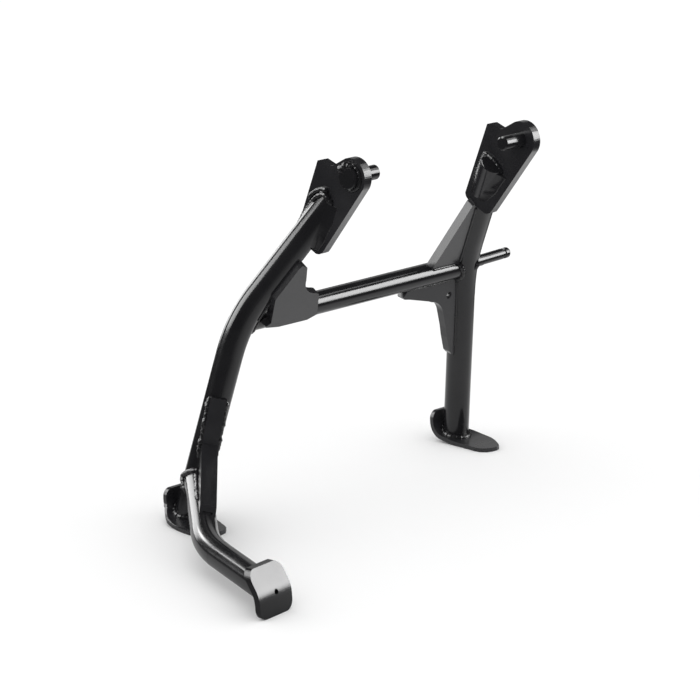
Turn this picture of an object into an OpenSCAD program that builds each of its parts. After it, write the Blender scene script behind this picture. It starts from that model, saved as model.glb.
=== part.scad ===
// Motorcycle centre stand: two bent tube legs, cross tube, pivot plates with
// inward pivot pins, curved foot plates and a side lever with a foot pad.
// Units mm. +Z up, +X to the right leg, -Y to the rear. The stand rests on
// the two foot plates and the lower edge of the lever pad.

/* [Tubes] */
// Outer diameter of the leg and lever tubes
leg_d = 25; // [20:0.5:32]
// Wall of the leg and lever tubes
leg_wall = 2.5; // [1.5:0.5:4]
// Outer diameter of the cross tube
cross_d = 21.8; // [16:0.2:28]
// Wall of the cross tube
cross_wall = 2.5; // [1.5:0.5:4]
// Centre-line bend radius of the leg tubes
leg_bend_r = 165; // [100:5:260]
// Centre-line bend radius of the lever tube
lever_bend_r = 150; // [80:5:260]

/* [Stance] */
// Half distance between the leg axes at the ground
foot_half = 183.7; // [150:0.1:220]
// Half distance between the leg axes at the bend
bend_half = 151.2; // [120:0.1:180]
// Height of the leg bend above the ground
bend_z = 189.3; // [160:0.1:220]
// Rearward offset of the leg bend
bend_y = -37.6; // [-60:0.1:-10]
// Height of the cross tube axis
cross_z = 188.2; // [160:0.1:220]
// Rearward offset of the cross tube axis
cross_y = -37.3; // [-60:0.1:-10]

/* [Pivot plates] */
// Thickness of the pivot plates
plate_t = 8.8; // [6:0.1:14]
// Half distance between the inner faces of the pivot plates
plate_half = 108.3; // [80:0.1:140]
// Rearward offset of the pivot axis
pivot_y = -146.1; // [-180:0.1:-110]
// Height of the pivot axis
pivot_z = 333.7; // [280:0.1:380]
// Radius of the plate lobe around the pivot
lobe_r = 17.3; // [14:0.1:24]

/* [Pivot pins] */
// Diameter of the pivot spigot
pin_d = 13.4; // [10:0.1:18]
// Diameter of the pin shank inside the plate
shank_d = 15; // [13:0.1:20]
// Length of the left spigot inboard of the plate
left_pin_len = 23.2; // [12:0.1:40]
// Length of the right spigot inboard of the plate
right_pin_len = 25.6; // [12:0.1:40]
// Diameter of the outer pin head
head_d = 21; // [16:0.5:28]
// Thickness of the outer pin head
head_t = 5; // [2:0.5:8]

/* [Foot plates] */
// Thickness of the curved foot plates
foot_t = 4; // [3:0.5:6]
// Height of the upturned front lip
lip_z = 30; // [18:0.5:40]

/* [Gussets] */
// Thickness of the gusset plates
gusset_t = 8.4; // [4:0.1:12]
// Diameter of the hole in the lower gusset
gusset_hole = 7; // [4:0.5:10]

/* [Lever pad] */
// Width of the pad
pad_w = 45; // [36:0.5:60]
// Thickness of the pad
pad_t = 5.5; // [3:0.5:7]
// Diameter of the pad hole
pad_hole = 5; // [3:0.5:8]

/* [Spring post] */
// Diameter of the spring post
post_d = 10.4; // [8:0.2:14]
// Length of the spring post
post_len = 50; // [40:0.5:75]
// Length of the slightly thicker root of the post
post_root = 12; // [8:0.5:20]

/* [Brace] */
// Outer width of the folded channel brace
brace_w = 15; // [12:0.5:22]
// Sheet thickness of the brace
brace_t = 3; // [2:0.5:4]
// Depth of the brace flanges
brace_depth = 12; // [6:0.5:18]

/* [Hidden] */
$fn = 96;
leg_r = leg_d/2;
cr = cross_d/2;
gap = 0.05;
// the bent zone is a hair thicker and laps the straight runs
lap = 1;
swell = 0.06;
// places the origin on the ground under the middle of the overall box
shift = [66.867, 118.65, 0];
black = [0.13,0.13,0.14];

// upper leg run: direction per unit height
up_x = -0.365; up_y = -0.652;
leg_top_z = 307;
function leg_low(s) = [s*foot_half, 0, 0];
function leg_knee(s) = [s*bend_half, bend_y, bend_z];
function leg_top(s) = leg_knee(s) + (leg_top_z - bend_z)*[s*up_x, up_y, 1];

// lever axis
lev_a = [-176.9, -8, 39.7];
lev_b = [-270.6, -117.8, 22];
lev_c = [-313, -237, 20];

// vector helpers
function unit(v) = v/norm(v);

// straight cylinder between two points
module rod(p, q, r) {
    v = q - p;
    translate(p) rotate([0, acos(v[2]/norm(v)), atan2(v[1], v[0])])
        cylinder(h = norm(v), r = r);
}

// round bar along a-b-c with a true arc of radius br at b
module bar(a, b, c, br, r) {
    d1 = unit(b - a);
    d2 = unit(c - b);
    th = acos(d1*d2);
    t = br*tan(th/2);
    s = b - t*d1;
    e = b + t*d2;
    m = unit(d2 - (d1*d2)*d1);
    o = s + br*m;
    z = cross(-m, d1);
    rod(a, s + lap*d1, r);
    rod(e - lap*d2, c, r);
    multmatrix([[-m[0], d1[0], z[0], o[0]], [-m[1], d1[1], z[1], o[1]],
                [-m[2], d1[2], z[2], o[2]], [0, 0, 0, 1]])
        rotate_extrude(angle = th) translate([br, 0]) circle(r = r + swell);
}

// straight pipe between two points
module pipe(p, q, r, ri) {
    v = q - p;
    translate(p) rotate([0, acos(v[2]/norm(v)), atan2(v[1], v[0])])
        linear_extrude(height = norm(v)) difference() { circle(r = r); circle(r = ri); }
}

// pipe along a-b-c with a true arc of radius br at b
module bent_pipe(a, b, c, br, r, ri) {
    d1 = unit(b - a);
    d2 = unit(c - b);
    th = acos(d1*d2);
    t = br*tan(th/2);
    s = b - t*d1;
    e = b + t*d2;
    m = unit(d2 - (d1*d2)*d1);
    o = s + br*m;
    z = cross(-m, d1);
    pipe(a, s + lap*d1, r, ri);
    pipe(e - lap*d2, c, r, ri);
    multmatrix([[-m[0], d1[0], z[0], o[0]], [-m[1], d1[1], z[1], o[1]],
                [-m[2], d1[2], z[2], o[2]], [0, 0, 0, 1]])
        rotate_extrude(angle = th) translate([br, 0])
            difference() { circle(r = r + swell); circle(r = ri - swell); }
}

// pivot plate outline, drawn in (rearward = -y, z)
function arc(cy, cz, r, a0, a1, n) = [for (i = [0:n]) let (a = a0 + (a1-a0)*i/n) [cy + r*cos(a), cz + r*sin(a)]];
plate_pts = concat(
    [[-105.1, 342.9], [-109.7, 344.1], [-120.6, 340.4], [-123.4, 340.6]],
    arc(pivot_y, pivot_z, lobe_r, 66, 217.6, 26),
    [[-113.2, 262.3], [-110.3, 258.8], [-106.6, 257.2], [-103.2, 257],
     [-83.2, 266.2], [-79.4, 269.6], [-78.2, 273.2]]);

module plate_blank(s, t) {
    translate([s > 0 ? plate_half : -plate_half - t, 0, 0])
        rotate([90, 0, 90]) linear_extrude(height = t) polygon(plate_pts);
}

module pivot_plate(s) {
    color(black) difference() {
        union() {
            plate_blank(s, plate_t);
            intersection() {
                rod(leg_knee(s), leg_top(s), leg_r);
                translate([s*(plate_half - 20) - 21, -140, 255]) cube([42, 80, 70]);
            }
        }
        translate([s*(plate_half - 5), pivot_y, pivot_z]) rotate([0, s*90, 0])
            cylinder(h = plate_t + 10, r = shank_d/2 + gap);
    }
}

// turned pin: outer head, thicker shank through the plate, spigot with chamfered end
module pivot_pin(s) {
    xo = plate_half + plate_t + gap;
    pin_len = s > 0 ? right_pin_len : left_pin_len;
    color(black) translate([s*xo, pivot_y, pivot_z]) rotate([0, -s*90, 0])
        rotate_extrude() polygon([[0, -head_t], [head_d/2 - 1, -head_t],
            [head_d/2, -head_t + 1], [head_d/2, 0], [shank_d/2, 0],
            [shank_d/2, plate_t + gap], [pin_d/2, plate_t + gap],
            [pin_d/2, plate_t + pin_len - 1.4], [pin_d/2 - 1.4, plate_t + pin_len],
            [0, plate_t + pin_len]]);
}

// side section of the foot plate along y (curved rocker), outer or inner line
function foot_line(o) = let (r1 = 80, r2 = 18) concat(
    [[-70, o], [-22, o]],
    [for (i = [1:8]) let (a = 17.5*i/8) [-22 + (r1 - o)*sin(a), r1 - (r1 - o)*cos(a)]],
    [for (i = [1:18]) let (a = 17.5 + 70.5*i/18)
        [-22 + (r1 - r2)*sin(17.5) + (r2 - o)*sin(a), r1 - (r1 - r2)*cos(17.5) - (r2 - o)*cos(a)]]);
foot_out = foot_line(0);
foot_in = foot_line(foot_t);
function rev(v) = [for (i = [len(v)-1:-1:0]) v[i]];
function last(v) = v[len(v)-1];
foot_top_out = last(foot_out) + 12*[cos(88), sin(88)];
foot_top_in = last(foot_in) + 12*[cos(88), sin(88)];

// sole outlines as x from the leg axis at the ground, y; the left sole is
// turned slightly outward
right_plan = [[-22, 30], [-21.8, 4], [-20.8, -2], [-19.6, -10], [-19.2, -20], [-19.3, -44],
    [-18.2, -49], [-14.4, -53.6], [-8.5, -56.2], [-2.2, -56.7], [2.8, -54.9], [7.8, -48.8],
    [13.2, -40.6], [17.6, -31.2], [20.2, -20.5], [20.9, -12], [20.2, -6], [18.4, -2],
    [15.9, 3], [14.8, 9], [14.6, 30]];
left_plan = [[21.9, 30], [21.6, 6], [18.6, -6], [13.9, -22], [8.4, -36], [4, -46.5],
    [1, -52.2], [-3.2, -55.4], [-10, -57], [-17.6, -56], [-24.6, -50.8], [-28.8, -43.4],
    [-30.3, -36], [-30, -28], [-28.6, -18], [-27.2, -10], [-25.4, -1.6], [-20.4, 6.3],
    [-15.4, 12.4], [-14.8, 30]];
foot_lip = concat([[-40, -5], [-40, 1], [-27, 4], [-22.8, 9], [-21.7, 15]],
    arc(-13.5, lip_z - 8, 8.2, 178, 98, 10),
    arc(7, lip_z - 7.6, 7.6, 85, 0, 10), [[14.6, 16], [15.6, 13.5], [20, 9], [28, 4], [40, 1], [40, -5]]);

module foot(s) {
    color(black) intersection() {
        translate([s*foot_half - 60, 0, 0]) rotate([90, 0, 90]) linear_extrude(height = 120)
            polygon(concat(foot_out, [foot_top_out, foot_top_in], rev(foot_in)));
        translate([s*foot_half, 0, -1]) linear_extrude(height = 60)
            polygon(s > 0 ? right_plan : left_plan);
        translate([s*foot_half, 60, 0]) rotate([90, 0, 0]) linear_extrude(height = 140)
            polygon([for (p = foot_lip) [s*p[0], p[1]]]);
    }
}

// everything on the sole side of the foot plate's inner face
module under_foot(s) {
    translate([s*foot_half - 60, 0, 0]) rotate([90, 0, 90]) linear_extrude(height = 120)
        polygon(concat([[-120, -40], [-120, foot_t + gap]],
            [for (p = foot_line(foot_t + gap)) p],
            [last(foot_line(foot_t + gap)) + [1, 30], [80, 60], [80, -40]]));
}

module leg(s) {
    a = leg_low(s) - 20*unit(leg_knee(s) - leg_low(s));
    color(black) difference() {
        bent_pipe(a, leg_knee(s), leg_top(s), leg_bend_r, leg_r, leg_r - leg_wall);
        under_foot(s);
        plate_slot(s);
    }
}

// the tube end laps the outer face of the pivot plate; its inboard half,
// on the inner face, belongs to the plate
module plate_slot(s) {
    translate([s > 0 ? 60 : -plate_half - plate_t - gap, 0, 0]) rotate([90, 0, 90])
        linear_extrude(height = plate_half + plate_t + gap - 60)
        polygon([[-60, 340], [-170, 340], [-170, 256.9], [-102.9, 256.9], [-83, 266.1], [-60, 266.1]]);
}

module cross_tube() {
    color(black) difference() {
        translate([-bend_half, cross_y, cross_z]) rotate([0, 90, 0]) cylinder(h = 2*bend_half, r = cr);
        translate([-bend_half - 1, cross_y, cross_z]) rotate([0, 90, 0])
            cylinder(h = 2*bend_half + 2, r = cr - cross_wall);
        for (s = [-1, 1]) bar(leg_low(s), leg_knee(s), leg_top(s), leg_bend_r, leg_r + gap);
    }
}

// frame whose local X is world X and local Y runs up the tubes in the
// leaning plane through the cross tube; local Z points rearward
module lean(sl) {
    translate([0, cross_y, cross_z]) rotate([90 - atan(sl), 0, 0]) children();
}

module cut_tubes(s) {
    bar(leg_low(s), leg_knee(s), leg_top(s), leg_bend_r, leg_r + gap);
    translate([-200, cross_y, cross_z]) rotate([0, 90, 0]) cylinder(h = 400, r = cr + gap);
}

module left_gusset() {
    color(black) difference() {
        lean(up_y) translate([0, 0, 10]) linear_extrude(height = 8)
            polygon(concat([[-130.2, 78.6], [-127.6, 81.4], [-119.4, 77.2], [-117.4, 72.6]],
                [for (i = [0:12]) let (a = 196 + 64*i/12) [-81.5 + 31*cos(a), 68.3 + 31*sin(a)]],
                [[-82.6, 36.3], [-81.2, 34.6], [-67.8, 6.4], [-78.6, 1.8], [-116, 2.2], [-133.5, 5.4], [-134.5, 7],
                 [-129.6, 10.2], [-141.2, 42.4]]));
        cut_tubes(-1);
    }
}

module right_upper_gusset() {
    color(black) difference() {
        lean(up_y) translate([0, 0, -gusset_t/2]) linear_extrude(height = gusset_t)
            polygon([[96.2, 3], [97.4, 13.9], [105, 91.6], [107.2, 94.4], [114, 94.4], [128, 50], [146, 3]]);
        cut_tubes(1);
        plate_blank(1, plate_t);
    }
}

module right_lower_gusset() {
    color(black) difference() {
        lean(-0.198) translate([0, 0, -gusset_t/2]) linear_extrude(height = gusset_t)
            polygon(concat([[77, -3], [66.8, -16.5], [68.6, -18.5], [76.2, -19.9]],
                [[104.5, -27.2], [108.5, -28.8]],
                [for (i = [0:10]) let (a = 75 - 55*i/10) [106 + 24*cos(a) , -52.6 + 24*sin(a)]],
                [[135.8, -60.7], [140, -72.2], [144.8, -83.2], [147.2, -88.5], [151, -92], [156, -94], [160, -60], [150, -3]]));
        cut_tubes(1);
        lean(-0.198) translate([132.6, -26, -20]) cylinder(h = 40, d = gusset_hole);
    }
}

// straight post lying against the rear of the right leg, on a slightly
// thicker root, with a groove behind a rounded head
post_at = [150.3, -50.7, 193.8];
module spring_post() {
    r = post_d/2;
    color(black) difference() {
        translate(post_at) rotate([0, 88.3, 0]) rotate_extrude()
            polygon(concat([[0, 0], [r, 0], [r + 0.4, 0.4], [r + 0.4, post_root - 0.4], [r, post_root],
                [r, post_len - 9.2], [r - 0.9, post_len - 8.4],
                [r - 0.9, post_len - 6.8], [r, post_len - 6]],
                [for (i = [0:6]) let (a = 90*i/6) [r - 2.2 + 2.2*cos(a), post_len - 2.2 + 2.2*sin(a)]],
                [[0, post_len]]));
        bar(leg_low(1), leg_knee(1), leg_top(1), leg_bend_r, leg_r + gap);
    }
}

module lever_tube() {
    color(black) difference() {
        bent_pipe(lev_a, lev_b, lev_c + 10*unit(lev_c - lev_b), lever_bend_r, leg_r, leg_r - leg_wall);
        rod(leg_low(-1), leg_knee(-1), leg_r + gap);
        pad_front();
    }
}

// pad frame: local X across the pad, local Y out of its face, local Z up
pad_yaw = 7.7;
module pad_frame() {
    translate([-314.2, -247.6, 0]) rotate([0, 0, pad_yaw]) children();
}
// side line of the pad face, leaning back a little below and more above;
// o is the offset out of the face
pad_a0 = 6; pad_a1 = 33; pad_r = 30; pad_y0 = -2.3;
function pad_line(o) = let (n0 = o*[-cos(pad_a0), sin(pad_a0)],
    c = [pad_y0 + 14*tan(pad_a0), 14] + pad_r*[cos(pad_a0), -sin(pad_a0)],
    e = c + (pad_r + o)*[-cos(pad_a1), sin(pad_a1)]) concat(
    [[pad_y0 - 2*tan(pad_a0), -2] + n0],
    [for (i = [0:10]) let (a = pad_a0 + (pad_a1 - pad_a0)*i/10) c + (pad_r + o)*[-cos(a), sin(a)]],
    [e + 30*[sin(pad_a1), cos(pad_a1)]]);
module pad_band(o1, o2) {
    rotate([90, 0, 90]) translate([0, 0, -60]) linear_extrude(height = 120)
        polygon(concat(pad_line(o1), rev(pad_line(o2))));
}
module pad_front() {
    pad_frame() pad_band(-pad_t - gap, 60);
}
module lever_pad() {
    color(black) difference() {
        pad_frame() difference() {
            intersection() {
                pad_band(-pad_t, 0);
                translate([0, 40, 0]) rotate([90, 0, 0]) linear_extrude(height = 80)
                    polygon(concat(arc(pad_w/2 - 10, 9.5, 9.5, -90, 0, 10),
                        arc(pad_w/2 - 9, 33, 9, 0, 80, 10),
                        arc(-pad_w/2 + 10, 32, 10, 100, 180, 10),
                        arc(-pad_w/2 + 9, 9, 9, 180, 270, 10)));
            }
            translate([2, 2.33, 19.39]) rotate([90 - 17.7, 0, 0]) cylinder(h = 30, d = pad_hole, center = true);
        }
    }
}

// folded channel from the rear of the left leg down to the top of the lever:
// the path of its web face runs br_1, br_2, br_3
br_1 = [-173.3, -34.3, 120];
br_2 = [-178.5, -27.4, 77];
br_3 = [-236.9, -85.6, 44];
br_x = unit(br_3 - br_2);
br_z = unit(cross(br_2 - br_1, br_3 - br_2));
br_y = cross(br_z, br_x);
br_a = [(br_1 - br_2)*br_x, (br_1 - br_2)*br_y];
br_th = acos(unit([-br_a[0], -br_a[1]])*[1, 0]);
br_l = norm(br_3 - br_2);
function brace_line(o) = [br_a + o*[cos(270 - br_th), sin(270 - br_th)],
    [-o*tan(br_th/2), -o], [br_l, -o]];
module lever_brace() {
    color(black) difference() {
        multmatrix([[br_x[0], br_y[0], br_z[0], br_2[0]], [br_x[1], br_y[1], br_z[1], br_2[1]],
                    [br_x[2], br_y[2], br_z[2], br_2[2]], [0, 0, 0, 1]]) difference() {
            translate([0, 0, -brace_w/2]) linear_extrude(height = brace_w)
                polygon(concat(brace_line(0), [[br_l + 13, -7.5]], rev(brace_line(brace_depth))));
            translate([0, 0, brace_t - brace_w/2]) linear_extrude(height = brace_w - 2*brace_t)
                polygon(concat([brace_line(brace_t)[0] + 4*[cos(180 - br_th), sin(180 - br_th)]],
                    brace_line(brace_t), [[br_l + 20, -brace_t]],
                    [[br_l + 20, -brace_depth - 3]], rev(brace_line(brace_depth + 3)),
                    [brace_line(brace_depth + 3)[0] + 4*[cos(180 - br_th), sin(180 - br_th)]]));
        }
        rod(leg_low(-1), leg_knee(-1), (leg_r + gap)/cos(15), $fn = 12);
        rod(lev_a, lev_a + 1.3*(lev_b - lev_a), (leg_r + gap)/cos(15), $fn = 12);
    }
}

module placed() { translate(shift) children(); }

placed() leg(-1);  // left_leg
placed() leg(1);  // right_leg
placed() cross_tube();
placed() pivot_plate(-1);  // left_pivot_plate
placed() pivot_plate(1);  // right_pivot_plate
placed() pivot_pin(-1);  // left_pivot_pin
placed() pivot_pin(1);  // right_pivot_pin
placed() foot(-1);  // left_foot
placed() foot(1);  // right_foot
placed() lever_tube();
placed() lever_pad();
placed() lever_brace();
placed() left_gusset();
placed() right_upper_gusset();
placed() right_lower_gusset();
placed() spring_post();
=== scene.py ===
import math
import random
import bmesh
import bpy
import numpy as np
from mathutils import Matrix, Vector


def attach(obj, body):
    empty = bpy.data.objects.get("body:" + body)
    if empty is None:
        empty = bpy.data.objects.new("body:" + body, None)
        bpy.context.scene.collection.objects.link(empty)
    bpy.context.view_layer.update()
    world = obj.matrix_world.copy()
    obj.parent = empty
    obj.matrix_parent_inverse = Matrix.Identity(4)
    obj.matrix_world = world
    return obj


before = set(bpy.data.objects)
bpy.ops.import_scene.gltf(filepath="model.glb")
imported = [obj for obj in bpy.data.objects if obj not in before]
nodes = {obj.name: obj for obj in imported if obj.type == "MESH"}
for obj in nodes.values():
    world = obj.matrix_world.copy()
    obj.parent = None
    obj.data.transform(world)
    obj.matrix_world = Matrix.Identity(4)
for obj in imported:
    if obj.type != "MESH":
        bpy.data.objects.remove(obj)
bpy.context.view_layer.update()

rng = random.Random(11)

# ---------------------------------------------------------------- camera
az = math.radians(-46)
back = Vector((-0.695, -0.671, 0.259)).normalized()
right = Vector((math.cos(az), math.sin(az), 0)).normalized()
up = back.cross(right).normalized()
cam_data = bpy.data.cameras.new("cam")
cam_data.lens = 190.41
cam_data.sensor_width = 36
cam_data.sensor_fit = "HORIZONTAL"
cam_data.clip_end = 60
cam = bpy.data.objects.new("cam", cam_data)
cam.matrix_world = Matrix(((right.x, up.x, back.x, -2.348833), (right.y, up.y, back.y, -2.246150),
                           (right.z, up.z, back.z, 1.0326), (0, 0, 0, 1)))
bpy.context.scene.collection.objects.link(cam)
bpy.context.scene.camera = cam
bpy.context.scene.view_settings.view_transform = "Standard"
bpy.context.scene.view_settings.look = "None"

# ---------------------------------------------------------------- materials


def new_material(name):
    m = bpy.data.materials.new(name)
    m.use_nodes = True
    nt = m.node_tree
    return m, nt, nt.nodes["Principled BSDF"]


def add(nt, kind, **values):
    n = nt.nodes.new(kind)
    for k, v in values.items():
        setattr(n, k, v)
    return n


def coat(name, rough=(0.17, 0.27), peel=0.05, grit=0.0, base=0.008, wear=0.0):
    """Semi-gloss black powder coat: orange peel in two sizes, a little dust in the colour and uneven gloss."""
    m, nt, b = new_material(name)
    tc = add(nt, "ShaderNodeTexCoord")
    big = add(nt, "ShaderNodeTexNoise")
    big.inputs["Scale"].default_value = 26
    big.inputs["Detail"].default_value = 3
    nt.links.new(tc.outputs["Object"], big.inputs["Vector"])
    fine = add(nt, "ShaderNodeTexNoise")
    fine.inputs["Scale"].default_value = 520
    fine.inputs["Detail"].default_value = 2
    nt.links.new(tc.outputs["Object"], fine.inputs["Vector"])
    specks = add(nt, "ShaderNodeTexVoronoi")
    specks.inputs["Scale"].default_value = 330
    nt.links.new(tc.outputs["Object"], specks.inputs["Vector"])
    # colour: near black with a faint cool cast, slightly lighter dust in patches
    dust = add(nt, "ShaderNodeValToRGB")
    dust.color_ramp.elements[0].position = 0.35
    dust.color_ramp.elements[0].color = (base, base, base * 1.12, 1)
    dust.color_ramp.elements[1].position = 0.75
    dust.color_ramp.elements[1].color = (base * 1.5, base * 1.48, base * 1.62, 1)
    nt.links.new(big.outputs["Fac"], dust.inputs["Fac"])
    tiny = add(nt, "ShaderNodeValToRGB")
    tiny.color_ramp.elements[0].position = 0.02
    tiny.color_ramp.elements[0].color = (0.09, 0.09, 0.095, 1)
    tiny.color_ramp.elements[1].position = 0.06
    tiny.color_ramp.elements[1].color = (0, 0, 0, 1)
    nt.links.new(specks.outputs["Distance"], tiny.inputs["Fac"])
    mix = add(nt, "ShaderNodeMixRGB", blend_type="ADD")
    mix.inputs["Fac"].default_value = 0.35 + wear
    nt.links.new(dust.outputs["Color"], mix.inputs["Color1"])
    nt.links.new(tiny.outputs["Color"], mix.inputs["Color2"])
    nt.links.new(mix.outputs["Color"], b.inputs["Base Color"])
    # gloss
    gloss = add(nt, "ShaderNodeMapRange")
    gloss.inputs["From Min"].default_value = 0.3
    gloss.inputs["From Max"].default_value = 0.7
    gloss.inputs["To Min"].default_value = rough[0]
    gloss.inputs["To Max"].default_value = rough[1]
    nt.links.new(big.outputs["Fac"], gloss.inputs["Value"])
    nt.links.new(gloss.outputs["Result"], b.inputs["Roughness"])
    # relief
    bump = add(nt, "ShaderNodeBump")
    bump.inputs["Strength"].default_value = peel
    bump.inputs["Distance"].default_value = 0.0004
    nt.links.new(fine.outputs["Fac"], bump.inputs["Height"])
    last = bump
    if grit:
        g = add(nt, "ShaderNodeTexNoise")
        g.inputs["Scale"].default_value = 900
        g.inputs["Detail"].default_value = 4
        nt.links.new(tc.outputs["Object"], g.inputs["Vector"])
        b2 = add(nt, "ShaderNodeBump")
        b2.inputs["Strength"].default_value = grit
        b2.inputs["Distance"].default_value = 0.0006
        nt.links.new(g.outputs["Fac"], b2.inputs["Height"])
        nt.links.new(bump.outputs["Normal"], b2.inputs["Normal"])
        last = b2
    nt.links.new(last.outputs["Normal"], b.inputs["Normal"])
    b.inputs["IOR"].default_value = 1.45
    b.inputs["Metallic"].default_value = 0.0
    return m


tube_mat = coat("coat_tube", rough=(0.13, 0.2), peel=0.05)
plate_mat = coat("coat_plate", rough=(0.17, 0.24), peel=0.08, base=0.013)
pad_mat = coat("coat_pad", rough=(0.2, 0.27), peel=0.05)
foot_mat = coat("coat_foot", rough=(0.22, 0.32), peel=0.1, base=0.014, wear=0.3)
weld_mat = coat("coat_weld", rough=(0.18, 0.3), peel=0.1, grit=0.25)

by_node = {
    "left_leg": tube_mat, "right_leg": tube_mat, "cross_tube": tube_mat, "lever_tube": tube_mat,
    "left_pivot_pin": tube_mat, "right_pivot_pin": tube_mat, "spring_post": tube_mat,
    "left_pivot_plate": plate_mat, "right_pivot_plate": plate_mat, "lever_pad": pad_mat,
    "lever_brace": plate_mat, "left_gusset": plate_mat, "right_upper_gusset": plate_mat,
    "right_lower_gusset": plate_mat, "left_foot": foot_mat, "right_foot": foot_mat,
}
bevels = {
    "left_pivot_plate": 0.9, "right_pivot_plate": 0.9, "lever_pad": 2.6, "lever_brace": 2.2,
    "left_gusset": 0.7, "right_upper_gusset": 0.7, "right_lower_gusset": 0.7, "left_foot": 0.45,
    "right_foot": 0.45, "spring_post": 0.3, "left_pivot_pin": 0.5, "right_pivot_pin": 0.5,
}
for name, ob in nodes.items():
    m = by_node[name]
    if not ob.material_slots:
        ob.data.materials.append(m)
    for s in ob.material_slots:
        s.material = m
    if name in bevels:
        b = ob.modifiers.new("edge", "BEVEL")
        b.width = bevels[name] / 1000
        b.segments = 5 if name in ("lever_pad", "lever_brace") else 2
        b.limit_method = "ANGLE"
        b.angle_limit = math.radians(32)
        b.harden_normals = True

# ---------------------------------------------------------------- weld beads
# all in millimetres, in the CAD's own construction frame, shifted at the end
SHIFT = np.array([66.867, 118.65, 0.0])
R = 12.5
CR = 10.9


def unit(v):
    v = np.asarray(v, float)
    return v / np.linalg.norm(v)


def low(s):
    return np.array([s * 183.7, 0.0, 0.0])


def knee(s):
    return np.array([s * 151.2, -37.6, 189.3])


def top(s):
    return knee(s) + (307 - 189.3) * np.array([-s * 0.365, -0.652, 1])


def bent(a, b, c, br, n=40):
    """Centre line of a bent tube as points."""
    d1, d2 = unit(b - a), unit(c - b)
    th = math.acos(float(d1 @ d2))
    t = br * math.tan(th / 2)
    s = b - t * d1
    m = unit(d2 - (d1 @ d2) * d1)
    o = s + br * m
    arc = [o - br * m * math.cos(th * i / n) + br * d1 * math.sin(th * i / n) for i in range(n + 1)]
    return np.array([a] + arc + [c])


leg_line = {s: bent(low(s) - 20 * unit(knee(s) - low(s)), knee(s), top(s), 165) for s in (-1, 1)}
lev_a, lev_b, lev_c = np.array([-176.9, -8, 39.7]), np.array([-270.6, -117.8, 22.0]), np.array([-313, -237, 20.0])
lever_line = bent(lev_a, lev_b, lev_c + 10 * unit(lev_c - lev_b), 150)


def dist(p, line):
    """Distance from points to a polyline."""
    p = np.atleast_2d(p)
    a, d = line[:-1], line[1:] - line[:-1]
    w = p[:, None, :] - a[None]
    t = np.clip((w * d).sum(2) / (d * d).sum(1), 0, 1)
    return np.linalg.norm(w - t[..., None] * d, axis=2).min(1)


def root(f, lo, hi, n=80):
    """First sign change of f from lo to hi, refined by halving."""
    ts = np.linspace(lo, hi, n)
    v = [f(t) for t in ts]
    for i in range(n - 1):
        if v[i] * v[i + 1] <= 0 and v[i] != v[i + 1]:
            a, b, fa = ts[i], ts[i + 1], v[i]
            for _ in range(24):
                m = (a + b) / 2
                fm = f(m)
                if fa * fm <= 0:
                    b = m
                else:
                    a, fa = m, fm
            return (a + b) / 2
    return None


def basis(d):
    d = unit(d)
    x = unit(np.cross(d, [0, 0, 1] if abs(d[2]) < 0.9 else [0, 1, 0]))
    return d, x, np.cross(d, x)


def collar(p, d, r, inside, reach, n=72, a0=0, a1=360):
    """Where a cylinder from p along d first meets another surface: inside(q) is negative within it."""
    d, x, y = basis(d)
    out = []
    for i in range(n + (a1 - a0 < 360)):
        a = math.radians(a0 + (a1 - a0) * i / n)
        q = p + r * (math.cos(a) * x + math.sin(a) * y)
        t = root(lambda t: inside(q + t * d), 0, reach)
        if t is not None:
            out.append(q + t * d)
    return np.array(out)


def resample(pts, step, closed):
    pts = np.asarray(pts, float)
    if closed:
        pts = np.vstack([pts, pts[:1]])
    seg = np.linalg.norm(np.diff(pts, axis=0), axis=1)
    s = np.concatenate([[0], np.cumsum(seg)])
    n = max(8, int(round(s[-1] / step)))
    t = np.linspace(0, s[-1], n + 1)
    if closed:
        t = t[:-1]
    return np.stack([np.interp(t, s, pts[:, k]) for k in range(3)], 1), s[-1]


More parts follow.
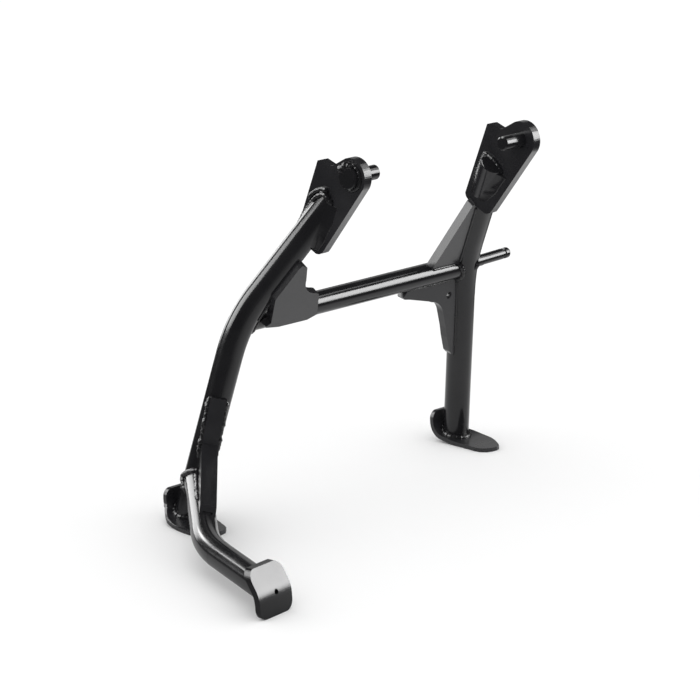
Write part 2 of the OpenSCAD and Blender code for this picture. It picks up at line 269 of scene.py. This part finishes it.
def bead(name, pts, r=2.4, closed=False, ripple=0.13, pitch=3.4, rough=0.08, sides=10, flat=1.0, toward=None):
    """A weld bead swept along a seam, with overlapping ripples and small unevenness."""
    c, length = resample(pts, 0.55, closed)
    n = len(c)
    if closed:
        tan = np.roll(c, -1, 0) - np.roll(c, 1, 0)
    else:
        tan = np.gradient(c, axis=0)
    tan /= np.linalg.norm(tan, axis=1)[:, None]
    ph = [rng.uniform(0, 6.28) for _ in range(6)]
    verts, faces = [], []
    x = unit(np.cross(tan[0], [0.3, 0.2, 0.93]))
    for i in range(n):
        x = unit(x - (x @ tan[i]) * tan[i])
        y = np.cross(tan[i], x)
        s = i / n * length
        k = max(1, round(length / pitch))
        u = (s / length * k) % 1.0
        wave = (1 - u) ** 0.7 - 0.45
        slow = math.sin(2 * math.pi * s / length * 3 + ph[0]) + 0.6 * math.sin(2 * math.pi * s / length * 7 + ph[1])
        rr = r * (1 + ripple * wave + rough * 0.6 * slow)
        if not closed:
            e = min(s, length - s)
            rr *= min(1.0, 0.25 + 0.75 * math.sin(min(1.0, e / (1.6 * r)) * math.pi / 2))
        for j in range(sides):
            a = 2 * math.pi * j / sides
            q = rr * (1 + rough * 0.5 * math.sin(3 * a + ph[2] + s * 0.9) + rough * 0.5 * math.sin(5 * a + ph[3] - s * 1.7))
            verts.append(c[i] + q * (math.cos(a) * x + math.sin(a) * y))
    m = n if closed else n - 1
    if closed:
        # turn the last ring onto the first
        first, prev = np.array(verts[:sides]), np.array(verts[-sides:])
        off = min(range(sides), key=lambda o: float(np.linalg.norm(np.roll(first, -o, 0) - prev)))
    for i in range(m):
        for j in range(sides):
            a, b = i * sides + j, i * sides + (j + 1) % sides
            if closed and i == n - 1:
                c2, d2 = (j + off) % sides, (j + 1 + off) % sides
            else:
                c2, d2 = (i + 1) * sides + j, (i + 1) * sides + (j + 1) % sides
            faces.append((a, b, d2, c2))
    if not closed:
        faces.append(tuple(range(sides - 1, -1, -1)))
        faces.append(tuple((n - 1) * sides + j for j in range(sides)))
    me = bpy.data.meshes.new(name)
    me.from_pydata([tuple((np.asarray(v) + SHIFT) / 1000) for v in verts], [], faces)
    me.update()
    for p in me.polygons:
        p.use_smooth = True
    me.materials.append(weld_mat)
    ob = bpy.data.objects.new(name, me)
    bpy.context.scene.collection.objects.link(ob)
    sub = ob.modifiers.new("round", "SUBSURF")
    sub.levels = sub.render_levels = 1
    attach(ob, "root")
    return ob


def fillet(name, rim, out, ax, ex, ey, s, w_plate, w_tube, ripple=0.05, segs=7):
    """A concave weld fillet between the face of a pivot plate and the tube that lies on it."""
    pitch, rows = 3.6, []
    n = len(rim)
    run = 0
    ph = rng.uniform(0, 6)
    for i, (a, u, q) in enumerate(rim):
        if i:
            run += float(np.linalg.norm(q - rim[i - 1][2]))
        nt_ = math.cos(a) * ex + math.sin(a) * ey
        tp = nt_ - (nt_ @ out) * out
        tp = unit(tp)
        grow = math.sin(min(1.0, min(i, n - 1 - i + 3) / 4) * math.pi / 2)
        k = grow * (1 + ripple * (((run / pitch) % 1.0) ** 0.7 - 0.5) + 0.05 * math.sin(run * 0.35 + ph))
        # which way round the tube leads away from the plate
        best = max((1, -1), key=lambda d: float((math.cos(a + d * 0.1) * ex + math.sin(a + d * 0.1) * ey) @ out))
        a2 = a + best * w_tube * k / R
        p0 = q + w_plate * k * tp - 0.2 * out
        p2 = knee(s) + (R - 0.15) * (math.cos(a2) * ex + math.sin(a2) * ey) + u * ax
        mid = q + 0.42 * ((p0 + p2) / 2 - q)
        curve = [(1 - t) ** 2 * p0 + 2 * t * (1 - t) * mid + t * t * p2 for t in np.linspace(0, 1, segs)]
        rows.append(curve + [q - 0.4 * out - 0.4 * nt_])
    m = segs + 1
    verts = [tuple((np.asarray(v) + SHIFT) / 1000) for r_ in rows for v in r_]
    faces = []
    for i in range(n - 1):
        for j in range(m):
            faces.append((i * m + j, i * m + (j + 1) % m, (i + 1) * m + (j + 1) % m, (i + 1) * m + j))
    faces.append(tuple(range(m - 1, -1, -1)))
    faces.append(tuple((n - 1) * m + j for j in range(m)))
    me = bpy.data.meshes.new(name)
    me.from_pydata(verts, [], faces)
    me.update()
    bm = bmesh.new()
    bm.from_mesh(me)
    bmesh.ops.recalc_face_normals(bm, faces=bm.faces)
    bm.to_mesh(me)
    bm.free()
    for p in me.polygons:
        p.use_smooth = True
    me.materials.append(weld_mat if ripple > 0.1 else tube_mat)
    ob = bpy.data.objects.new(name, me)
    bpy.context.scene.collection.objects.link(ob)
    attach(ob, "root")
    return ob


def grid_mesh(name, rows, mat):
    """A closed mesh through rows of points, each row a closed loop."""
    n, m = len(rows), len(rows[0])
    verts = [tuple((np.asarray(v) + SHIFT) / 1000) for r_ in rows for v in r_]
    faces = [(i * m + j, i * m + (j + 1) % m, (i + 1) * m + (j + 1) % m, (i + 1) * m + j)
             for i in range(n - 1) for j in range(m)]
    faces += [tuple(range(m - 1, -1, -1)), tuple((n - 1) * m + j for j in range(m))]
    me = bpy.data.meshes.new(name)
    me.from_pydata(verts, [], faces)
    bm = bmesh.new()
    bm.from_mesh(me)
    bmesh.ops.recalc_face_normals(bm, faces=bm.faces)
    bm.to_mesh(me)
    bm.free()
    for p in me.polygons:
        p.use_smooth = True
    me.materials.append(mat)
    ob = bpy.data.objects.new(name, me)
    bpy.context.scene.collection.objects.link(ob)
    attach(ob, "root")
    return ob


side = {-1: "left", 1: "right"}
cross_mid = np.array([0, -37.3, 188.2])
for s in (-1, 1):
    # cross tube into the leg
    pts = collar(cross_mid + np.array([s * 110.0, 0, 0]), [s, 0, 0], CR, lambda q: float(dist(q, leg_line[s])[0] - R), 60)
    bead(f"weld_cross_{side[s]}", pts, r=2.8, closed=True, ripple=0.16)
    # pivot plate: seams along the tube on the outer and the inner face
    ax, ex, ey = basis(top(s) - knee(s))
    for face, tag in ((117.1, "outer"), (108.3, "inner")):
        rim = []
        for i in range(360):
            a = math.radians(i)
            off = R * (math.cos(a) * ex + math.sin(a) * ey)
            # length along the axis at which this line of the tube reaches the face
            u = (s * face - knee(s)[0] - off[0]) / ax[0]
            q = knee(s) + off + u * ax
            rim.append((a, u, q))
        u_top = float(np.linalg.norm(top(s) - knee(s)))
        keep = [(a, u, q) for a, u, q in rim if 40 < u < u_top]
        # front and rear side lines of the seam, from low on the plate up to the cut end
        lines = []
        for want in (1, -1):
            # the line turns back at its lowest point
            low_a = min(keep, key=lambda k: k[1])[0]
            sel = sorted([k for k in keep if want * math.sin(k[0] - low_a) > 0], key=lambda k: k[1])
            sel = [k for k in sel if k[2][2] > 261.5 and -124 < k[2][1] < -80]
            lines.append(sel)
        if len(lines[0]) < 4 or len(lines[1]) < 4:
            continue
        if lines[0][-1][2][1] < lines[1][-1][2][1]:
            lines = lines[::-1]
        out = s if tag == "outer" else -s
        for k, (sel, wp, wt) in enumerate(((lines[0], 4.2, 3.6), (lines[1], 8.0, 8.5))):
            fillet(f"weld_plate_{side[s]}_{tag}_{k + 1}", sel, np.array([out, 0, 0]), ax, ex, ey, s, wp, wt,
                   ripple=0.16 if k == 0 else 0.02)
        f0, f1 = lines[0][-1][2], lines[1][-1][2]
        bulge = np.array([0, ax[1], ax[2]]) / math.hypot(ax[1], ax[2])
        arc = [f0 + (f1 - f0) * t + bulge * (1.2 + 2.2 * math.sin(math.pi * t)) + np.array([out * 0.5, 0, 0])
               for t in np.linspace(-0.12, 1.02, 15)]
        bead(f"weld_plate_{side[s]}_{tag}_end", arc, r=3.0 if tag == "outer" else 2.2,
             ripple=0.18 if tag == "outer" else 0.06, pitch=4.6)
    # the inner half of the tube's cut end is filled with weld up to the plate
    inb = unit(np.array([-s, 0, 0]) + s * ax[0] * ax)
    acr = np.cross(ax, inb)
    rise = np.array([0, ax[1], ax[2]]) / math.hypot(ax[1], ax[2])
    rows = []
    for i in range(25):
        a = math.radians(-90 + 180 * i / 24)
        edge = top(s) + (R - 0.1) * (math.cos(a) * inb + math.sin(a) * acr)
        wob = 1 + 0.05 * math.sin(i * 1.3 + 0.5 * s)
        face = top(s) + (R - 0.6) * math.sin(a) * acr + 3.0 * wob * math.cos(a) * rise
        face[0] = s * 108.5
        mid = edge + 2.0 * math.cos(a) * ax + 0.15 * (face - edge)
        curve = [(1 - t) ** 2 * edge + 2 * t * (1 - t) * mid + t * t * face for t in np.linspace(0, 1, 8)]
        rows.append(curve + [top(s) + (R - 1.5) * math.sin(a) * acr - 0.8 * ax])
    grid_mesh(f"weld_cap_{side[s]}", rows, tube_mat)
    # pin head on the outer face: a thin ring, and a heavy bead over its upper front half
    xo = s * 117.3
    ring = [np.array([xo, -146.1 + 11.4 * math.cos(t), 333.7 + 11.4 * math.sin(t)]) for t in np.linspace(0, 2 * math.pi, 73)[:-1]]
    bead(f"weld_pin_{side[s]}", ring, r=2.2, closed=True, ripple=0.16, pitch=4.2)
    heavy = [np.array([xo + s * 2.6, -146.1 + 10.6 * math.cos(t), 333.7 + 10.6 * math.sin(t)])
             for t in np.linspace(math.radians(5), math.radians(118), 40)]
    bead(f"weld_pin_{side[s]}_top", heavy, r=3.7, ripple=0.3, pitch=5.2, rough=0.2)

# two fat crescents of weld over the outer end of each leg tube
for s in (-1, 1):
    for k, (pts, r) in enumerate((([(-118.3, -95.3, 306.5), (-118.3, -99.1, 311.7), (-118.3, -105.4, 315.9), (-118.3, -111.6, 318.2), (-118.3, -116.6, 318.0), (-118.3, -118.4, 315.1)], 2.2),
                                  ([(-119.6, -100.4, 305.2), (-119.6, -105.4, 310.1), (-119.6, -111.6, 313.2), (-119.6, -116.6, 313.4), (-119.6, -120.1, 311.1), (-119.6, -120.3, 306.5)], 2.3))):
        c = np.array([(-s * x, y, z) for x, y, z in pts])
        fine = np.stack([np.interp(np.linspace(0, len(c) - 1, 30), range(len(c)), c[:, j]) for j in range(3)], 1)
        bead(f"weld_end_{side[s]}_{k + 1}", fine, r=r, ripple=0.1, pitch=5.0)

# lever root on the left leg
lever_dir = unit(lev_b - lev_a)
pts = collar(lev_a + 62 * lever_dir, -lever_dir, R, lambda q: float(dist(q, np.array([low(-1), knee(-1)]))[0] - R), 70)
bead("weld_lever_root", pts, r=3.1, closed=True, ripple=0.2, pitch=4.6, rough=0.14)

# spring post on the rear of the right leg: round its inboard end and along its flanks
pd = np.array([0.99956, 0, 0.02967])
pe = np.array([150.3, -50.7, 193.8])
e1, e2 = np.array([0, 1.0, 0]), np.array([-0.02967, 0, 0.99956])
ring = [pe + 0.8 * pd + 5.7 * (math.cos(t) * e1 + math.sin(t) * e2) for t in np.linspace(0, 2 * math.pi, 49)[:-1]]
bead("weld_post_end", ring, r=2.2, closed=True, pitch=3.2, ripple=0.18)
for k, tag in ((1, "top"), (-1, "bottom")):
    flank = []
    for t in np.linspace(0, 11.5, 14):
        q = pe + t * pd + np.array([0, 3.2, k * 5.0])
        flank.append(q)
    bead(f"weld_post_{tag}", flank, r=2.4, pitch=3.2, ripple=0.16)


def foot_top(y):
    """Height of the foot plate's inner face."""
    r1, r2, o = 80, 18, 4
    ys, zs = [-70, -22], [o, o]
    for i in range(1, 9):
        a = math.radians(17.5 * i / 8)
        ys.append(-22 + (r1 - o) * math.sin(a))
        zs.append(r1 - (r1 - o) * math.cos(a))
    for i in range(1, 19):
        a = math.radians(17.5 + 70.5 * i / 18)
        k = math.radians(17.5)
        ys.append(-22 + (r1 - r2) * math.sin(k) + (r2 - o) * math.sin(a))
        zs.append(r1 - (r1 - r2) * math.cos(k) - (r2 - o) * math.cos(a))
    return float(np.interp(y, ys, zs))


for s in (-1, 1):
    d = unit(low(s) - knee(s))
    pts = collar(low(s) - 45 * d, d, R, lambda q: q[2] - foot_top(q[1]), 60)
    bead(f"weld_foot_{side[s]}", pts, r=3.0, closed=True, ripple=0.2, pitch=4.4)

# pad on the lever
yaw = math.radians(7.7)
pad_o = np.array([-314.2, -247.6, 0])
pad_x, pad_y = np.array([math.cos(yaw), math.sin(yaw), 0]), np.array([-math.sin(yaw), math.cos(yaw), 0])


def pad_back(z):
    """Local y of the pad's back face at a height."""
    a0, a1, pr, o = math.radians(6), math.radians(33), 30, -5.5
    cy, cz = -2.3 + 14 * math.tan(a0) + pr * math.cos(a0), 14 - pr * math.sin(a0)
    pts = [(-2.3 - 2 * math.tan(a0) - o * math.cos(a0), -2 + o * math.sin(a0))]
    pts += [(cy - (pr + o) * math.cos(a), cz + (pr + o) * math.sin(a)) for a in [a0 + (a1 - a0) * i / 10 for i in range(11)]]
    e = pts[-1]
    pts.append((e[0] + 30 * math.sin(a1), e[1] + 30 * math.cos(a1)))
    return float(np.interp(z, [p[1] for p in pts], [p[0] for p in pts]))


ld = unit(lev_c - lev_b)
pts = collar(lev_c - 30 * ld, ld, R, lambda q: float((q - pad_o) @ pad_y) - pad_back(q[2]), 60)
bead("weld_pad", pts, r=1.5, closed=True)

# brace flanges on the leg and on the lever
br_1, br_2, br_3 = np.array([-173.3, -34.3, 120.0]), np.array([-178.5, -27.4, 77.0]), np.array([-236.9, -85.6, 44.0])
br_x = unit(br_3 - br_2)
br_z = unit(np.cross(br_2 - br_1, br_3 - br_2))
br_y = np.cross(br_z, br_x)
leg_d = unit(knee(-1) - low(-1))


def flange_seam(p0, p1, zloc, rear, n=26):
    """Where the plane of a flange meets a tube between two axis points, on the rear side."""
    ax = unit(p1 - p0)
    _, ex, ey = basis(ax)
    out = []
    for i in range(n + 1):
        c = p0 + (p1 - p0) * i / n
        best = None
        for j in range(180):
            a = 2 * math.pi * j / 180
            q = c + R * (math.cos(a) * ex + math.sin(a) * ey)
            if (q - c) @ rear < 0:
                continue
            e = abs((q - br_2) @ br_z - zloc)
            if best is None or e < best[0]:
                best = (e, q)
        if best and best[0] < 0.8:
            out.append(best[1])
    return np.array(out)


rear = unit(br_1 - (low(-1) + (br_1[2] / 189.3) * (knee(-1) - low(-1))))
for zl, tag in ((7.5, "a"), (-7.5, "b")):
    c0 = low(-1) + (62 / 189.3) * (knee(-1) - low(-1))
    c1 = low(-1) + (119 / 189.3) * (knee(-1) - low(-1))
    seam = flange_seam(c0, c1, zl, rear)
    if len(seam) > 4:
        bead(f"weld_brace_leg_{tag}", seam, r=3.2, ripple=0.2, rough=0.2, pitch=4.8)
    l0, l1 = lev_a + 18 * lever_dir, lev_a + 74 * lever_dir
    seam = flange_seam(l0, l1, zl, np.array([0, 0, 1.0]))
    if len(seam) > 4:
        bead(f"weld_brace_lever_{tag}", seam, r=2.8, ripple=0.18, rough=0.16, pitch=4.4)


# gussets: seams on the planes of their faces
def lean(p, slope):
    a = math.radians(90) - math.atan(slope)
    x, y, z = p
    return cross_mid + np.array([x, y * math.cos(a) - z * math.sin(a), y * math.sin(a) + z * math.cos(a)])


def plane_seam(s, slope, zloc, y0, y1, inner=True, n=30):
    """Seam between a gusset face at local z and the leg, for local y from y0 to y1, on the leg's inboard side."""
    out = []
    for i in range(n + 1):
        y = y0 + (y1 - y0) * i / n
        f = lambda x: float(dist(lean((s * x, y, zloc), slope), leg_line[s])[0] - R)
        t = root(f, 60, 190, 120) if inner else root(lambda x: f(250 - x), 60, 190, 120)
        if t is not None:
            out.append(lean((s * (t if inner else 250 - t), y, zloc), slope))
    return np.array(out)


def tube_seam(s, slope, zloc, x0, x1, sign, n=20):
    y = sign * math.sqrt(max(0.1, CR ** 2 - zloc ** 2))
    return np.array([lean((s * x, y, zloc), slope) for x in np.linspace(x0, x1, n)])


for zl, tag in ((4.2, "rear"), (-4.2, "front")):
    seam = plane_seam(1, -0.652, zl, 12, 88)
    if len(seam) > 4:
        bead(f"weld_gusset_up_{tag}", seam, r=1.5)
    bead(f"weld_gusset_up_{tag}_cross", tube_seam(1, -0.652, zl, 98, 130, 1), r=1.5)
    seam = plane_seam(1, -0.198, zl, -84, -12)
    if len(seam) > 4:
        bead(f"weld_gusset_low_{tag}", seam, r=1.4)
    bead(f"weld_gusset_low_{tag}_cross", tube_seam(1, -0.198, zl, 72, 132, -1), r=1.4)
seam = plane_seam(-1, -0.652, 10, 8, 72)
if len(seam) > 4:
    bead("weld_gusset_left_leg", seam, r=1.8)
bead("weld_gusset_left_cross", tube_seam(-1, -0.652, 10, 72, 128, 1), r=1.6)

# ---------------------------------------------------------------- floor and light
def plane(name, verts, mat):
    me = bpy.data.meshes.new(name)
    me.from_pydata(verts, [], [tuple(range(len(verts)))])
    me.materials.append(mat)
    ob = bpy.data.objects.new(name, me)
    bpy.context.scene.collection.objects.link(ob)
    return ob


floor_mat, nt, b = new_material("floor_white")
tc = add(nt, "ShaderNodeTexCoord")
nz = add(nt, "ShaderNodeTexNoise")
nz.inputs["Scale"].default_value = 3
nt.links.new(tc.outputs["Object"], nz.inputs["Vector"])
rp = add(nt, "ShaderNodeValToRGB")
rp.color_ramp.elements[0].color = (0.915, 0.915, 0.915, 1)
rp.color_ramp.elements[1].color = (0.93, 0.93, 0.93, 1)
nt.links.new(nz.outputs["Fac"], rp.inputs["Fac"])
nt.links.new(rp.outputs["Color"], b.inputs["Base Color"])
b.inputs["Roughness"].default_value = 0.9
b.inputs["Specular IOR Level"].default_value = 0.0
# painted reflection: seen in the gloss of the coat, the paper's colour is a painted pool of light, bright under the
# object and falling off to near black, standing in for a dark room
length = add(nt, "ShaderNodeVectorMath", operation="LENGTH")
spot = add(nt, "ShaderNodeVectorMath", operation="SUBTRACT")
spot.inputs[1].default_value = (0.17, 0.1, 0)
nt.links.new(tc.outputs["Object"], spot.inputs[0])
nt.links.new(spot.outputs["Vector"], length.inputs[0])
painted_pool_fall = add(nt, "ShaderNodeMapRange")
painted_pool_fall.interpolation_type = "SMOOTHSTEP"
painted_pool_fall.inputs["From Min"].default_value = 0.25
painted_pool_fall.inputs["From Max"].default_value = 0.68
painted_pool_fall.inputs["To Min"].default_value = 0.76
painted_pool_fall.inputs["To Max"].default_value = 0.02
nt.links.new(length.outputs["Value"], painted_pool_fall.inputs["Value"])
# painted pool of light: a diffuse colour that only glossy rays see, bright near the object, near black further out
painted_pool_diffuse = add(nt, "ShaderNodeBsdfDiffuse")
nt.links.new(painted_pool_fall.outputs["Result"], painted_pool_diffuse.inputs["Color"])
# glossy rays see the painted pool of light, all other rays the evenly white floor
path = add(nt, "ShaderNodeLightPath")
ms = add(nt, "ShaderNodeMixShader")
nt.links.new(path.outputs["Is Glossy Ray"], ms.inputs["Fac"])
nt.links.new(b.outputs["BSDF"], ms.inputs[1])
nt.links.new(painted_pool_diffuse.outputs["BSDF"], ms.inputs[2])
nt.links.new(ms.outputs["Shader"], nt.nodes["Material Output"].inputs["Surface"])
floor = plane("floor", [(-25, -25, 0), (25, -25, 0), (25, 25, 0), (-25, 25, 0)], floor_mat)


def softbox(name, az, dist_m, w, z0, z1, radiance):
    """An upright soft light at a bearing from the origin, from height z0 to z1."""
    d = Vector((math.cos(math.radians(az)), math.sin(math.radians(az)), 0))
    data = bpy.data.lights.new(name, "AREA")
    data.shape = "RECTANGLE"
    data.size, data.size_y = w, z1 - z0
    data.energy = radiance * math.pi * w * (z1 - z0)
    ob = bpy.data.objects.new(name, data)
    ob.location = d * dist_m + Vector((0, 0, (z0 + z1) / 2))
    ob.rotation_euler = (-d).to_track_quat("-Z", "Y").to_euler()
    ob.visible_diffuse = False
    bpy.context.scene.collection.objects.link(ob)
    return ob


def glow(name, loc, aim, w, h, radiance, on):
    """A small soft light that only shows in the gloss of some pieces."""
    data = bpy.data.lights.new(name, "AREA")
    data.shape = "RECTANGLE"
    data.size, data.size_y = w, h
    data.energy = radiance * math.pi * w * h
    ob = bpy.data.objects.new(name, data)
    ob.location = Vector(loc)
    ob.rotation_euler = (Vector(aim) - Vector(loc)).to_track_quat("-Z", "Y").to_euler()
    ob.visible_diffuse = False
    ob.visible_camera = False
    bpy.context.scene.collection.objects.link(ob)
    lit = bpy.data.collections.new("lit_" + name)
    for piece in on:
        lit.objects.link(nodes[piece])
    ob.light_linking.receiver_collection = lit
    return ob


softbox("key_low", -37, 2.6, 1.25, 0.22, 0.5, 10.5)
softbox("key_right", -37, 2.6, 1.25, 0.5, 1.75, 14.5)
softbox("key_high", -37, 2.6, 2.4, 1.85, 3.6, 3.2)
softbox("sky_back_left", 128, 1.9, 2.6, 1.05, 3.6, 8)
softbox("rim_back_left", 128.5, 2.2, 1.47, 0.35, 0.95, 8)
softbox("rim_back", 78, 2.2, 0.95, 0.0, 1.03, 4.2)
glow("edge_c", (-0.55, 0.65, 0.17), (0.2, 0.08, 0.24), 0.5, 0.3, 7, ("right_upper_gusset",))
glow("lever_bend", (-0.03, 1.087, 0.495), (-0.2037, 0.0009, 0.022), 0.19, 0.17, 9, ("lever_tube",))
glow("edge_a", (0.21, -0.06, 0.006), (0.21, -0.06, 1), 0.16, 0.14, 1.3, ("left_pivot_plate",))
glow("edge_b", (0.47, -0.06, 0.006), (0.47, -0.06, 1), 0.16, 0.14, 1.3, ("right_pivot_plate",))

world = bpy.data.worlds.new("studio")
world.use_nodes = True
bpy.context.scene.world = world
wn = world.node_tree
bg = wn.nodes["Background"]
wc = add(wn, "ShaderNodeTexCoord")
dot = add(wn, "ShaderNodeVectorMath", operation="DOT_PRODUCT")
pd_ = Vector((math.cos(math.radians(43)) * math.cos(math.radians(15)),
              math.sin(math.radians(43)) * math.cos(math.radians(15)), math.sin(math.radians(15))))
wn.links.new(wc.outputs["Generated"], dot.inputs[0])
dot.inputs[1].default_value = pd_
patch = add(wn, "ShaderNodeMapRange")
patch.interpolation_type = "SMOOTHSTEP"
patch.inputs["From Min"].default_value = math.cos(math.radians(16))
patch.inputs["From Max"].default_value = math.cos(math.radians(8))
patch.inputs["To Min"].default_value = 0.035
patch.inputs["To Max"].default_value = 0.5
wn.links.new(dot.outputs["Value"], patch.inputs["Value"])
lp = add(wn, "ShaderNodeLightPath")
mixc = add(wn, "ShaderNodeMixRGB")
mixc.inputs["Color1"].default_value = (1.14, 1.14, 1.14, 1)
wn.links.new(patch.outputs["Result"], mixc.inputs["Color2"])
wn.links.new(lp.outputs["Is Glossy Ray"], mixc.inputs["Fac"])
wn.links.new(mixc.outputs["Color"], bg.inputs["Color"])
bg.inputs["Strength"].default_value = 1.0
